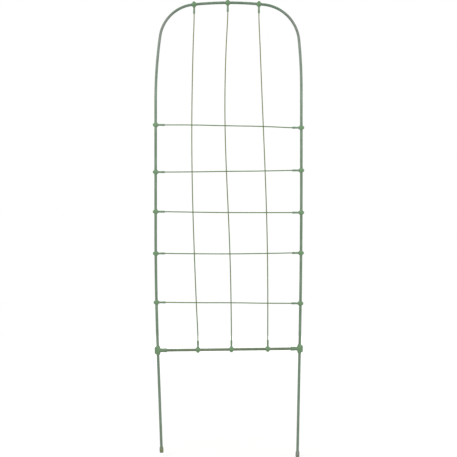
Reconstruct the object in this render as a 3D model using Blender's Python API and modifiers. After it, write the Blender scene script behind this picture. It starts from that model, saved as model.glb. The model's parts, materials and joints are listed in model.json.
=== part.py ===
# Garden trellis for climbing plants, for Blender 4.5. Metres, +Z up.
# A coated tube is bent to an arch on two legs, a crossbar joins the legs low down, and a grid of coated
# wires is woven between them. Every wire ends in two clips that slide along the tube they grip.
# The trellis faces -Y, its feet stand at Z = 0, and X = 0 is midway between the straight legs.

import math

import bmesh
import bpy
from mathutils import Matrix, Vector

MM = 0.001

# Tube of the arch and the crossbar
TUBE_RADIUS = 4.4 * MM  # steel tube of 8 mm under its coat
TUBE_WALL = 0.8 * MM  # steel and coat
TUBE_SIDES = 12
FIT = 0.3 * MM  # free space all round a tube in its clip, tee or cap, and round a wire in its socket

# Arch, along the middle of the tube. Its crown, corner and shoulder are arcs that run into each other.
HALF_WIDTH = 239.1 * MM  # middle plane to a straight leg
ARCH_HEIGHT = 1491 * MM
CROWN_RADIUS = 1120 * MM
LEFT_CORNER_RADIUS = 122 * MM
LEFT_SHOULDER_RADIUS = 1525 * MM
LEFT_SHOULDER_ANGLE = math.radians(7.9)  # what is left of the quarter turn below the corner
RIGHT_CORNER_RADIUS = 129 * MM
RIGHT_SHOULDER_RADIUS = 1600 * MM
RIGHT_SHOULDER_ANGLE = math.radians(5.7)

# Legs. Each comes down straight to its bend, leans inwards from there, and is steepest from its tee down.
LEFT_BEND_HEIGHT = 749 * MM
LEFT_LEAN = 0.0367
LEFT_TEE_HEIGHT = 350 * MM
LEFT_FOOT_HEIGHT = 14.4 * MM
RIGHT_BEND_HEIGHT = 913 * MM
RIGHT_LEAN = 0.0203
RIGHT_TEE_HEIGHT = 356 * MM
RIGHT_FOOT_HEIGHT = 0 * MM
BEND_STEPS = 4

# Wires of the grid
WIRE_RADIUS = 1.7 * MM  # steel wire of 3 mm under its coat
WIRE_SIDES = 8
WOVEN_GAP = 0.3 * MM  # between two wires where they cross
LEVEL_RUN = 22 * MM  # a row wire stays at full depth this far to each side of a crossing
END_EASE = 0.1  # share of a wire's length in which it turns into line with its clip

# Row wires, from the top down: height on the left leg, height on the right leg, sag in the middle
ROW_1 = (1090 * MM, 1081 * MM, -2.1 * MM)
ROW_2 = (935.3 * MM, 940.7 * MM, 0.6 * MM)
ROW_3 = (805.2 * MM, 802.3 * MM, 1.3 * MM)
ROW_4 = (668.2 * MM, 669.8 * MM, 2.2 * MM)
ROW_5 = (507.6 * MM, 504.5 * MM, 0 * MM)
WEAVE_STEPS = 4  # from one side of the column wires to the other

# Column wires, from the left: X at the crown, X at the crossbar, bow to the right, sway of the upper half
COLUMN_1 = (-112.8 * MM, -100.3 * MM, -12.7 * MM, -0.9 * MM)
COLUMN_2 = (-2.4 * MM, 9.6 * MM, -9.7 * MM, -5.4 * MM)
COLUMN_3 = (99.8 * MM, 128.8 * MM, 6.6 * MM, -1.8 * MM)
COLUMN_STEPS = 20

# Clip. Its ring grips the tube through a mouth, and its stem holds the end of a wire.
CLIP_LENGTH = 14.4 * MM
CLIP_WALL = 3.0 * MM  # at the belly of the ring
CLIP_RIM_WALL = 1.3 * MM  # at the ring's two ends
CLIP_LIP_LENGTH = 9.2 * MM
CLIP_LIP_REACH = 1.3 * MM  # how far the lips stand out past the belly
STEM_REACH = 30 * MM  # tube's middle to the stem's tip
STEM_NECK_REACH = 12.5 * MM
STEM_NECK_WALL = 0.95 * MM
STEM_TIP_WALL = 1.5 * MM
STEM_TIP_CHAMFER = 0.8 * MM
SOCKET_DEPTH = 19 * MM
WIRE_END_GAP = 0.5 * MM  # wire's end to the socket's floor in the clip that holds it fast
ROW_SLIP_GAP = 4 * MM  # the same in the clip in which a row wire slips as the legs close in
COLUMN_SLIP_GAP = 6 * MM  # the same in a crown clip, whose height changes along the crown

# Tee. It grips a leg as a clip does, and its branch holds the end of the crossbar.
TEE_LENGTH = 29 * MM
TEE_WALL = 3.8 * MM
TEE_RIM_WALL = 1.5 * MM
TEE_LIP_LENGTH = 22 * MM
TEE_LIP_REACH = 1.8 * MM
BRANCH_REACH = 30 * MM  # leg's middle to the branch's tip
BRANCH_NECK_REACH = 13.5 * MM
BRANCH_NECK_WALL = 1.1 * MM
BRANCH_TIP_WALL = 1.9 * MM
BRANCH_TIP_CHAMFER = 1.0 * MM
BRANCH_DEPTH = 19 * MM
BAR_END_GAP = 0.5 * MM

# What a clip and a tee share
ROOT_SHARE = 0.93  # radius of a stem's root, as a share of the ring's belly
TIP_SLOPE = 2.4  # how long the chamfer on a stem's tip is, for its depth
MOUTH_GRIP = 0.9 * MM  # how far each jaw closes in front of the tube
MOUTH_FLARE = 1.1 * MM
LIP_WALL = 2.0 * MM
LIP_ROUND = 2.5 * MM

# Foot cap
CAP_LENGTH = 18.7 * MM
CAP_FLOOR = 3.0 * MM
CAP_WALL = 1.8 * MM
CAP_RIM_WALL = 0.9 * MM
CAP_SOLE_RADIUS = 4.9 * MM

CHORD_ERROR = 0.22 * MM  # how far a straight piece of a bend may lie inside its arc
RING_SIDES = 16
STEM_SIDES = 12


def new_collection(name):
    collection = bpy.data.collections.new(name)
    bpy.context.scene.collection.children.link(collection)
    return collection


def clear_scene():
    for thing in list(bpy.data.objects):
        bpy.data.objects.remove(thing, do_unlink=True)


def plastic(name, colour, roughness):
    material = bpy.data.materials.new(name)
    material.use_nodes = True
    shader = material.node_tree.nodes["Principled BSDF"]
    shader.inputs["Base Color"].default_value = (*colour, 1.0)
    shader.inputs["Roughness"].default_value = roughness
    shader.inputs["Metallic"].default_value = 0.0
    material.diffuse_color = (*colour, 1.0)
    return material


def around(radius, sides):
    """Corner radius of a hole with this many flat sides, so that it clears a round of this radius by FIT."""
    return (radius + FIT) / math.cos(math.pi / sides)


def lerp(a, b, t):
    return a + (b - a) * t


def smoothstep(t):
    return t * t * (3 - 2 * t)


def eased(s):
    """The share s of a wire's length, slowed at both ends so that the wire leaves its clips in line."""
    near = min(s, 1 - s)
    if near >= END_EASE:
        return s
    t = near / END_EASE
    slowed = END_EASE * t * t * (2 - t)
    return slowed if s < 0.5 else 1 - slowed


class Leg:
    """One leg of the arch, on the side -1 (left) or 1 (right)."""

    def __init__(self, name, side, arcs, bend_height, lean, tee_height, foot_height):
        self.name = name
        self.side = side
        self.arcs = arcs
        self.bend_height = bend_height
        self.lean = lean
        self.tee_height = tee_height
        self.foot_height = foot_height

    def course(self, height):
        """Distance from the middle plane at this height, and the direction upwards there, both as for +X."""
        for centre, radius, start, end in self.arcs:
            if centre.z + radius * math.cos(end) < height < centre.z + radius * math.cos(start):
                angle = math.acos((height - centre.z) / radius)
                up = Vector((-math.cos(angle), 0, math.sin(angle)))
                return centre.x + radius * math.sin(angle), up
        # the bend is a shallow parabola between two straight stretches
        bend = self.bend_height - self.tee_height
        drop = max(self.bend_height - height, 0)
        curved = min(drop, bend)
        inset = self.lean * (curved * curved / (2 * bend) + drop - curved)
        return HALF_WIDTH - inset, Vector((self.lean * curved / bend, 0, 1)).normalized()

    def point(self, height):
        """Middle of the tube."""
        distance, _ = self.course(height)
        return Vector((self.side * distance, 0, height))

    def up(self, height):
        _, up = self.course(height)
        return Vector((self.side * up.x, 0, up.z))


def turned_from_up(angle):
    """A unit vector turned from straight up towards +X."""
    return Vector((math.sin(angle), 0, math.cos(angle)))


def arcs_of(corner_radius, shoulder_radius, shoulder_angle):
    """Crown, corner and shoulder of the +X half, each as centre, radius, start angle and end angle."""
    corner_end = math.pi / 2 - shoulder_angle
    beyond = HALF_WIDTH - corner_radius * math.sin(corner_end) - shoulder_radius * (1 - math.sin(corner_end))
    crown_end = math.asin(beyond / (CROWN_RADIUS - corner_radius))
    crown = Vector((0, 0, ARCH_HEIGHT - CROWN_RADIUS))
    corner = crown + (CROWN_RADIUS - corner_radius) * turned_from_up(crown_end)
    shoulder = corner + (corner_radius - shoulder_radius) * turned_from_up(corner_end)
    return (
        (crown, CROWN_RADIUS, 0, crown_end),
        (corner, corner_radius, crown_end, corner_end),
        (shoulder, shoulder_radius, corner_end, math.pi / 2),
    )


LEFT = Leg(
    "left",
    -1,
    arcs_of(LEFT_CORNER_RADIUS, LEFT_SHOULDER_RADIUS, LEFT_SHOULDER_ANGLE),
    LEFT_BEND_HEIGHT,
    LEFT_LEAN,
    LEFT_TEE_HEIGHT,
    LEFT_FOOT_HEIGHT,
)
RIGHT = Leg(
    "right",
    1,
    arcs_of(RIGHT_CORNER_RADIUS, RIGHT_SHOULDER_RADIUS, RIGHT_SHOULDER_ANGLE),
    RIGHT_BEND_HEIGHT,
    RIGHT_LEAN,
    RIGHT_TEE_HEIGHT,
    RIGHT_FOOT_HEIGHT,
)


def crown_seat(x):
    """Middle of the tube at the top of the arch, and its direction towards +X."""
    leg = LEFT if x < 0 else RIGHT
    for centre, radius, _, end in leg.arcs:
        if abs(x) < centre.x + radius * math.sin(end):
            break
    angle = math.asin((abs(x) - centre.x) / radius)
    point = centre + radius * turned_from_up(angle)
    along = Vector((math.cos(angle), 0, -leg.side * math.sin(angle)))
    return Vector((x, 0, point.z)), along


def bar_direction():
    return (RIGHT.point(RIGHT_TEE_HEIGHT) - LEFT.point(LEFT_TEE_HEIGHT)).normalized()


def bar_point(x):
    """Middle of the crossbar at this X."""
    start = LEFT.point(LEFT_TEE_HEIGHT)
    direction = bar_direction()
    return start + direction * ((x - start.x) / direction.x)


def half_arch(leg):
    """The tube's middle line from the crown down to one foot."""
    line = [Vector((0, 0, ARCH_HEIGHT))]
    for centre, radius, start, end in leg.arcs:
        step = 2 * math.acos(1 - CHORD_ERROR / radius)
        count = math.ceil((end - start) / step)
        for k in range(1, count + 1):
            point = centre + radius * turned_from_up(lerp(start, end, k / count))
            line.append(Vector((leg.side * point.x, 0, point.z)))
    for k in range(BEND_STEPS + 1):
        line.append(leg.point(lerp(leg.bend_height, leg.tee_height, k / BEND_STEPS)))
    line.append(leg.point(leg.foot_height + CAP_FLOOR + FIT))
    return line


def add_tube(name, points, radius, sides, material, wall=0.0):
    """A tube or wire along the points. With a wall it is hollow and open at both ends."""
    curve = bpy.data.curves.new(name, "CURVE")
    curve.dimensions = "3D"
    curve.bevel_depth = radius
    curve.bevel_resolution = sides // 2 - 2
    curve.use_fill_caps = wall == 0.0
    spline = curve.splines.new("POLY")
    spline.points.add(len(points) - 1)
    for point, place in zip(spline.points, points):
        point.co = (*place, 1)
    spline.use_smooth = True
    curve.materials.append(material)
    tube = bpy.data.objects.new(name, curve)
    parts.objects.link(tube)
    if wall:
        shell = tube.modifiers.new("Wall", "SOLIDIFY")
        shell.thickness = wall
        shell.offset = -1
        shell.use_even_offset = True
    return tube


def add_turned(name, profile, sides, frame, collection):
    """A solid turned about the frame's Z. The profile is (radius, height) pairs, from the top down."""
    mesh = bpy.data.meshes.new(name)
    edges = [(k, k + 1) for k in range(len(profile) - 1)]
    mesh.from_pydata([(r, 0, h) for r, h in profile], edges, [])
    turned = bpy.data.objects.new(name, mesh)
    collection.objects.link(turned)
    turned.matrix_world = frame
    screw = turned.modifiers.new("Turn", "SCREW")
    screw.steps = sides
    screw.render_steps = sides
    screw.use_merge_vertices = True
    screw.merge_threshold = 0.00001
    screw.use_smooth_shade = True
    return turned


def add_cylinder(name, radius, sides, bottom, top, frame):
    """A cutter along the frame's Z, from bottom to top."""
    mesh = bpy.data.meshes.new(name)
    bm = bmesh.new()
    middle = Matrix.Translation((0, 0, (bottom + top) / 2))
    bmesh.ops.create_cone(
        bm,
        cap_ends=True,
        segments=sides,
        radius1=radius,
        radius2=radius,
        depth=top - bottom,
        matrix=middle,
    )
    bm.to_mesh(mesh)
    bm.free()
    return place_helper(name, mesh, frame)


def add_wedge(name, near_half, far_half, near, far, length, frame, rounding=0.0):
    """A block along the frame's -X, from near to far. Its half width goes from near_half to far_half."""
    mesh = bpy.data.meshes.new(name)
    bm = bmesh.new()
    bmesh.ops.create_cube(bm, size=2)
    for vertex in bm.verts:
        at_far = vertex.co.x < 0
        vertex.co.x = -far if at_far else -near
        vertex.co.y *= far_half if at_far else near_half
        vertex.co.z *= length / 2
    if rounding:
        across = [edge for edge in bm.edges if is_far_corner(edge, far)]
        bmesh.ops.bevel(bm, geom=across, offset=rounding, segments=2, profile=0.5, affect="EDGES")
    bm.to_mesh(mesh)
    bm.free()
    return place_helper(name, mesh, frame)


def is_far_corner(edge, far):
    """Whether this edge of a block runs across its far end."""
    a, b = (vertex.co for vertex in edge.verts)
    return max(a.x, b.x) < -far * 0.99 and abs(a.z - b.z) < 0.01 * MM


def place_helper(name, mesh, frame):
    helper = bpy.data.objects.new(name, mesh)
    cutters.objects.link(helper)
    helper.matrix_world = frame
    return helper


def combine(target, operation, helper):
    """Adds the helper to the target or cuts it away, and hides it."""
    helper.hide_render = True
    helper.display_type = "WIRE"
    boolean = target.modifiers.new(helper.name, "BOOLEAN")
    boolean.operation = operation
    boolean.solver = "EXACT"
    boolean.object = helper


def belly(half_length, rim_radius, belly_radius, steps):
    """Profile of a ring that swells from its rims to its middle, from the top down."""
    heights = [half_length * k / steps for k in range(steps, -steps - 1, -1)]
    profile = [(0, half_length)]
    for height in heights:
        share = abs(height) / half_length
        profile.append((lerp(belly_radius, rim_radius, share**2.5), height))
    profile.append((0, -half_length))
    return profile


def waist(reach, neck_reach, root_radius, neck_radius, tip_radius, chamfer):
    """Profile of a stem, from its tip down into the ring: a tip with a swell, a neck, and a flared root."""
    root_reach = neck_reach * 0.2
    return [
        (0, reach),
        (tip_radius - chamfer, reach),
        (tip_radius, reach - TIP_SLOPE * chamfer),
        (tip_radius, lerp(neck_reach, reach, 0.72)),
        (neck_radius, neck_reach),
        (lerp(neck_radius, root_radius, 0.22), neck_reach * 0.72),
        (lerp(neck_radius, root_radius, 0.6), neck_reach * 0.45),
        (root_radius, root_reach),
        (0, root_reach),
    ]


def frame_of(place, x_axis, y_axis, z_axis):
    return Matrix.Translation(place) @ Matrix((x_axis, y_axis, z_axis)).transposed().to_4x4()


def add_fitting(name, seat, along, towards, ring, lips, stem, socket, material):
    """A clip or tee on a tube. Its ring lies along the tube, and its stem points towards what it holds."""
    side = along.cross(towards).normalized()
    ring_frame = frame_of(seat, side.cross(along), side, along)
    stem_frame = frame_of(seat, side.cross(towards), side, towards)
    body = add_turned(name, ring, RING_SIDES, ring_frame, parts)
    body.data.materials.append(material)
    half_length = ring[0][1]
    belly_radius = max(radius for radius, _ in ring)
    lip_length, lip_reach = lips
    throat = TUBE_RADIUS - MOUTH_GRIP
    far = belly_radius + lip_reach
    flare = throat + MOUTH_FLARE
    out = throat + LIP_WALL
    combine(body, "UNION", add_turned(name + "_stem", stem, STEM_SIDES, stem_frame, cutters))
    lip = add_wedge(name + "_lips", out, out, TUBE_RADIUS, far, lip_length, ring_frame, LIP_ROUND)
    combine(body, "UNION", lip)
    bore = around(TUBE_RADIUS, RING_SIDES)
    past = 1 * MM  # how far a cutter reaches outside
    over = half_length + past
    combine(body, "DIFFERENCE", add_cylinder(name + "_bore", bore, RING_SIDES, -over, over, ring_frame))
    mouth = add_wedge(name + "_mouth", throat, flare, throat / 2, far + past, 2 * over, ring_frame)
    combine(body, "DIFFERENCE", mouth)
    held_radius, held_sides, depth = socket
    reach = stem[0][1]
    hole = around(held_radius, held_sides)
    cutter = add_cylinder(name + "_socket", hole, held_sides, reach - depth, reach + past, stem_frame)
    combine(body, "DIFFERENCE", cutter)
    return body


def add_clip(name, seat, along, towards):
    bore = TUBE_RADIUS + FIT
    hole = WIRE_RADIUS + FIT
    ring = belly(CLIP_LENGTH / 2, bore + CLIP_RIM_WALL, bore + CLIP_WALL, steps=2)
    stem = waist(
        STEM_REACH,
        STEM_NECK_REACH,
        ROOT_SHARE * (bore + CLIP_WALL),
        hole + STEM_NECK_WALL,
        hole + STEM_TIP_WALL,
        STEM_TIP_CHAMFER,
    )
    lips = (CLIP_LIP_LENGTH, CLIP_LIP_REACH)
    socket = (WIRE_RADIUS, WIRE_SIDES, SOCKET_DEPTH)
    return add_fitting(name, seat, along, towards, ring, lips, stem, socket, green)


def add_tee(leg, towards):
    bore = TUBE_RADIUS + FIT
    ring = belly(TEE_LENGTH / 2, bore + TEE_RIM_WALL, bore + TEE_WALL, steps=3)
    stem = waist(
        BRANCH_REACH,
        BRANCH_NECK_REACH,
        ROOT_SHARE * (bore + TEE_WALL),
        bore + BRANCH_NECK_WALL,
        bore + BRANCH_TIP_WALL,
        BRANCH_TIP_CHAMFER,
    )
    lips = (TEE_LIP_LENGTH, TEE_LIP_REACH)
    socket = (TUBE_RADIUS, RING_SIDES, BRANCH_DEPTH)
    seat = leg.point(leg.tee_height)
    along = leg.up(leg.tee_height)
    return add_fitting(f"tee_{leg.name}", seat, along, towards, ring, lips, stem, socket, green)


def add_foot_cap(leg):
    """A cup on the end of a leg, swollen in the middle, with a flat sole."""
    up = leg.up(leg.foot_height)
    bore = around(TUBE_RADIUS, RING_SIDES)
    wall = bore + CAP_WALL
    rim = bore + CAP_RIM_WALL
    profile = [
        (0, CAP_FLOOR),
        (bore, CAP_FLOOR),
        (bore, CAP_LENGTH),
        (rim, CAP_LENGTH),
        (lerp(rim, wall, 0.75), CAP_LENGTH * 0.82),
        (wall, CAP_LENGTH * 0.55),
        (lerp(rim, wall, 0.8), CAP_LENGTH * 0.2),
        (lerp(CAP_SOLE_RADIUS, wall, 0.7), CAP_LENGTH * 0.07),
        (CAP_SOLE_RADIUS, 0),
        (0, 0),
    ]
    # the sole leans with the leg, so its middle stands a little above its lowest edge
    lift = CAP_SOLE_RADIUS * abs(up.x)
    side = Vector((0, 1, 0))
    frame = frame_of(leg.point(leg.foot_height + lift), side.cross(up), side, up)
    cap = add_turned(f"foot_cap_{leg.name}", profile, RING_SIDES, frame, parts)
    cap.data.materials.append(olive)
    return cap


def column_line(column):
    """The points of a column wire from its crown clip down to its crossbar clip."""
    top_x, bottom_x, bow, sway = column
    (top, _), bottom = crown_seat(top_x), bar_point(bottom_x)
    above, below = top.z - STEM_REACH, bottom.z + STEM_REACH
    line = []
    for k in range(COLUMN_STEPS + 1):
        s = eased(k / COLUMN_STEPS)
        x = lerp(top_x, bottom_x, s) + bow * math.sin(math.pi * s) + sway * math.sin(2 * math.pi * s)
        line.append(Vector((x, 0, lerp(above, below, k / COLUMN_STEPS))))
    floor = STEM_REACH - SOCKET_DEPTH
    line.insert(0, Vector((top_x, 0, top.z - floor - COLUMN_SLIP_GAP)))
    line.append(Vector((bottom_x, 0, bottom.z + floor + WIRE_END_GAP)))
    return line


def x_at(line, height):
    """X of a column wire at this height."""
    for upper, lower in zip(line, line[1:]):
        if upper.z >= height >= lower.z:
            return lerp(upper.x, lower.x, (upper.z - height) / (upper.z - lower.z))
    return line[-1].x


def weave(start, end, crossings, first_side):
    """(x, depth) along a row wire, which passes in front of and behind the column wires by turns."""
    depth = 2 * WIRE_RADIUS + WOVEN_GAP
    woven = [(start, 0.0)]
    for number, crossing in enumerate(crossings):
        x0, y0 = woven[-1]
        x1, y1 = crossing - LEVEL_RUN, depth * first_side * (-1) ** number
        woven += bend(x0, y0, x1, y1) + [(crossing + LEVEL_RUN, y1)]
    return woven + bend(*woven[-1], end, 0.0)


def bend(x0, y0, x1, y1):
    """A smooth step from one depth to another, without its first point."""
    shares = [k / WEAVE_STEPS for k in range(1, WEAVE_STEPS + 1)]
    return [(lerp(x0, x1, t), lerp(y0, y1, smoothstep(t))) for t in shares]


def row_line(row, crossings, first_side):
    """The points of a row wire from its left clip to its right clip."""
    left_height, right_height, sag = row
    left, right = LEFT.point(left_height), RIGHT.point(right_height)
    start, end = left.x + STEM_REACH, right.x - STEM_REACH
    line = []
    for x, y in weave(start, end, crossings, first_side):
        s = eased((x - start) / (end - start))
        z = lerp(left_height, right_height, s) - sag * math.sin(math.pi * s)
        line.append(Vector((x, y, z)))
    floor = STEM_REACH - SOCKET_DEPTH
    line.insert(0, Vector((left.x + floor + WIRE_END_GAP, 0, left_height)))
    line.append(Vector((right.x - floor - ROW_SLIP_GAP, 0, right_height)))
    return line


def build():
    arch = half_arch(LEFT)[:0:-1] + half_arch(RIGHT)
    add_tube("arch_tube", arch, TUBE_RADIUS, TUBE_SIDES, coated, TUBE_WALL)

    across = bar_direction()
    bar_inset = BRANCH_REACH - BRANCH_DEPTH + BAR_END_GAP
    bar_ends = [
        LEFT.point(LEFT_TEE_HEIGHT) + across * bar_inset,
        RIGHT.point(RIGHT_TEE_HEIGHT) - across * bar_inset,
    ]
    add_tube("crossbar", bar_ends, TUBE_RADIUS, TUBE_SIDES, coated, TUBE_WALL)
    add_tee(LEFT, across)
    add_tee(RIGHT, -across)
    for leg in (LEFT, RIGHT):
        add_foot_cap(leg)

    columns = []
    for number, column in enumerate((COLUMN_1, COLUMN_2, COLUMN_3), start=1):
        top, along = crown_seat(column[0])
        columns.append(column_line(column))
        add_tube(f"column_wire_{number}", columns[-1], WIRE_RADIUS, WIRE_SIDES, wire)
        add_clip(f"column_clip_{number}_top", top, along, Vector((0, 0, -1)))
        add_clip(f"column_clip_{number}_bottom", bar_point(column[1]), across, Vector((0, 0, 1)))

    for number, row in enumerate((ROW_1, ROW_2, ROW_3, ROW_4, ROW_5), start=1):
        height = (row[0] + row[1]) / 2 - row[2]
        crossings = [x_at(line, height) for line in columns]
        line = row_line(row, crossings, first_side=-1 if number % 2 else 1)
        add_tube(f"row_wire_{number}", line, WIRE_RADIUS, WIRE_SIDES, wire)
        left_height, right_height, _ = row
        add_clip(
            f"row_clip_{number}_left", LEFT.point(left_height), LEFT.up(left_height), Vector((1, 0, 0))
        )
        add_clip(
            f"row_clip_{number}_right", RIGHT.point(right_height), RIGHT.up(right_height), Vector((-1, 0, 0))
        )


clear_scene()
parts = new_collection("Garden trellis")
cutters = new_collection("Cutters")
coated = plastic("Coated steel tube", (0.20, 0.28, 0.19), 0.45)
wire = plastic("Coated steel wire", (0.20, 0.23, 0.13), 0.5)
green = plastic("Green polypropylene", (0.16, 0.30, 0.13), 0.4)
olive = plastic("Olive vinyl", (0.19, 0.21, 0.10), 0.5)
build()
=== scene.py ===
import json
import math
import bmesh
import bpy
from mathutils import Matrix, Vector

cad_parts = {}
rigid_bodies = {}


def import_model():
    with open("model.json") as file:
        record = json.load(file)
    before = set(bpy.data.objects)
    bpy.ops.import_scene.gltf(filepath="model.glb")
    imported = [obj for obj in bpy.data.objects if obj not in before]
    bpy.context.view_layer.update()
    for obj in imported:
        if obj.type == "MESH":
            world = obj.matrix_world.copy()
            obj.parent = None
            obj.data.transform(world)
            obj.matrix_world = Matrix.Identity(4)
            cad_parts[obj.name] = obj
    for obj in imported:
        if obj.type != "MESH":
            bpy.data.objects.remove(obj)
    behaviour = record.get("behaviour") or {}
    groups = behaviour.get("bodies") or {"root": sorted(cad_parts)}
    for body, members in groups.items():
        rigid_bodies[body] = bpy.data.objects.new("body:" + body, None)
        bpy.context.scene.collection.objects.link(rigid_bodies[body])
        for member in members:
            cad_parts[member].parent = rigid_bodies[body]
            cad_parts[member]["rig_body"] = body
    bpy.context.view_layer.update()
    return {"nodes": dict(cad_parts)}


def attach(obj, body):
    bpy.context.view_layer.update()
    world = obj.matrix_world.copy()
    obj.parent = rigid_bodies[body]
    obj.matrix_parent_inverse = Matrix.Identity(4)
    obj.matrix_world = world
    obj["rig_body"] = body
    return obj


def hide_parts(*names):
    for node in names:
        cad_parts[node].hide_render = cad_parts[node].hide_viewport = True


# Plant support for a garden: a coated tube bent to an arch, with a grid of coated wires held by clips.
# Sizes are in mm, heights are above the ground, and the front faces -Y.
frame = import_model()
mm = 0.001
fit = 0.3  # free space round a tube or a wire in what holds it
wireRadius = 1.7
mergeWithin = 0.005  # corners nearer than this are made one
smoothBelow = 40  # degrees: an edge that turns less than this is shaded round


# selecting and shaping

def pickOnly(piece):
    bpy.ops.object.select_all(action="DESELECT")
    piece.select_set(True)
    bpy.context.view_layer.objects.active = piece


def startCircle(name, radius, sides, filled=True, place=(0, 0, 0), turn=0.0):
    # leaves a ring, or a filled disc, in edit mode with all of it selected, ready to be pulled
    bpy.ops.object.select_all(action="DESELECT")
    bpy.ops.mesh.primitive_circle_add(
        vertices=sides, radius=radius * mm, fill_type="NGON" if filled else "NOTHING",
        location=Vector(place) * mm, rotation=(0, turn, 0),
    )
    piece = bpy.context.object
    piece.name = name
    bpy.ops.object.transform_apply(location=True, rotation=True, scale=True)
    bpy.ops.object.mode_set(mode="EDIT")
    bpy.ops.mesh.select_all(action="SELECT")
    return piece


def pullBy(x, y, z):
    bpy.ops.mesh.extrude_region_move(TRANSFORM_OT_translate={"value": (x * mm, y * mm, z * mm)})


def closeUp(piece):
    # merges what lies in one place, turns every face outwards and leaves edit mode
    bpy.ops.mesh.select_all(action="SELECT")
    bpy.ops.mesh.remove_doubles(threshold=mergeWithin * mm)
    bpy.ops.mesh.normals_make_consistent(inside=False)
    bpy.ops.object.mode_set(mode="OBJECT")
    return piece


def turnedSolid(name, profile, sides):
    # (radius, height) from the bottom up: each ring is pulled from the last and scaled to its radius
    radius, height = profile[0]
    piece = startCircle(name, radius, sides, place=(0, 0, height))
    for nextRadius, nextHeight in profile[1:]:
        pullBy(0, 0, nextHeight - height)
        share = nextRadius / radius
        bpy.ops.transform.resize(value=(share, share, 1), center_override=(0, 0, nextHeight * mm))
        radius, height = nextRadius, nextHeight
    return closeUp(piece)


def applied(piece, kind, **settings):
    pickOnly(piece)
    modifier = piece.modifiers.new(kind.title(), kind)
    for name, value in settings.items():
        setattr(modifier, name, value)
    bpy.ops.object.modifier_apply(modifier=modifier.name)


def carve(piece, helper, operation):
    applied(piece, "BOOLEAN", operation=operation, solver="EXACT", object=helper)
    bpy.data.objects.remove(helper)


def standAt(piece, place, along, side):
    # its Z is turned along the tube and its Y to this side, and its origin goes to the place
    turned = Matrix((side.cross(along), side, along)).transposed().to_4x4()
    piece.matrix_world = Matrix.Translation(place * mm) @ turned


def lerp(a, b, share):
    return a + (b - a) * share


def within01(value):
    return max(0, min(1, value))


def finishPiece(piece, node, material):
    pickOnly(piece)
    bpy.ops.object.transform_apply(location=True, rotation=True, scale=True)
    bpy.ops.object.shade_smooth_by_angle(angle=math.radians(smoothBelow))
    piece.data.materials.clear()
    piece.data.materials.append(material)
    body = frame["nodes"][node]["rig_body"]
    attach(piece, body)
    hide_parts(node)


# materials

noiseLow, noiseHigh = 0.3, 0.7  # nearly all values of a noise texture lie between these
tonedHeight = 1.5  # metres from the ground up: the position of a coat's tone is a share of this
peelRise = 0.1  # height of the orange peel, or of the grain of a mould


def hexColour(code):
    # sRGB hex to the linear colour that a shader takes
    linear = []
    for k in (1, 3, 5):
        part = int(code[k:k + 2], 16) / 255
        linear.append(part / 12.92 if part <= 0.04045 else ((part + 0.055) / 1.055) ** 2.4)
    return (*linear, 1.0)


def addNode(tree, kind, settings=None, links=None):
    # a setting is one of the node's own, such as its operation, or else the value of an input
    node = tree.nodes.new(kind)
    for name, value in (settings or {}).items():
        if hasattr(node, str(name)):
            setattr(node, name, value)
        else:
            node.inputs[name].default_value = value
    for name, source in (links or {}).items():
        tree.links.new(source, node.inputs[name])
    return node


def newMaterial(name, shine):
    # shine holds what is the same all over: it stays on the shader's own sockets
    material = bpy.data.materials.new(name)
    material.use_nodes = True
    tree = material.node_tree
    shader = tree.nodes["Principled BSDF"]
    for socket, value in shine.items():
        shader.inputs[socket].default_value = value
    place = addNode(tree, "ShaderNodeTexCoord").outputs["Object"]
    return material, tree, shader, place


def setStops(ramp, stops):
    # stops are (position, hex colour), in order
    elements = ramp.color_ramp.elements
    while len(elements) < len(stops):
        elements.new(0.5)  # moved below
    for element, (position, code) in zip(elements, stops):
        element.position = position
        element.color = hexColour(code)


def patternScale(size):
    # a noise feature is about 1 / scale metres across
    return 1 / (size * mm)


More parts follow.
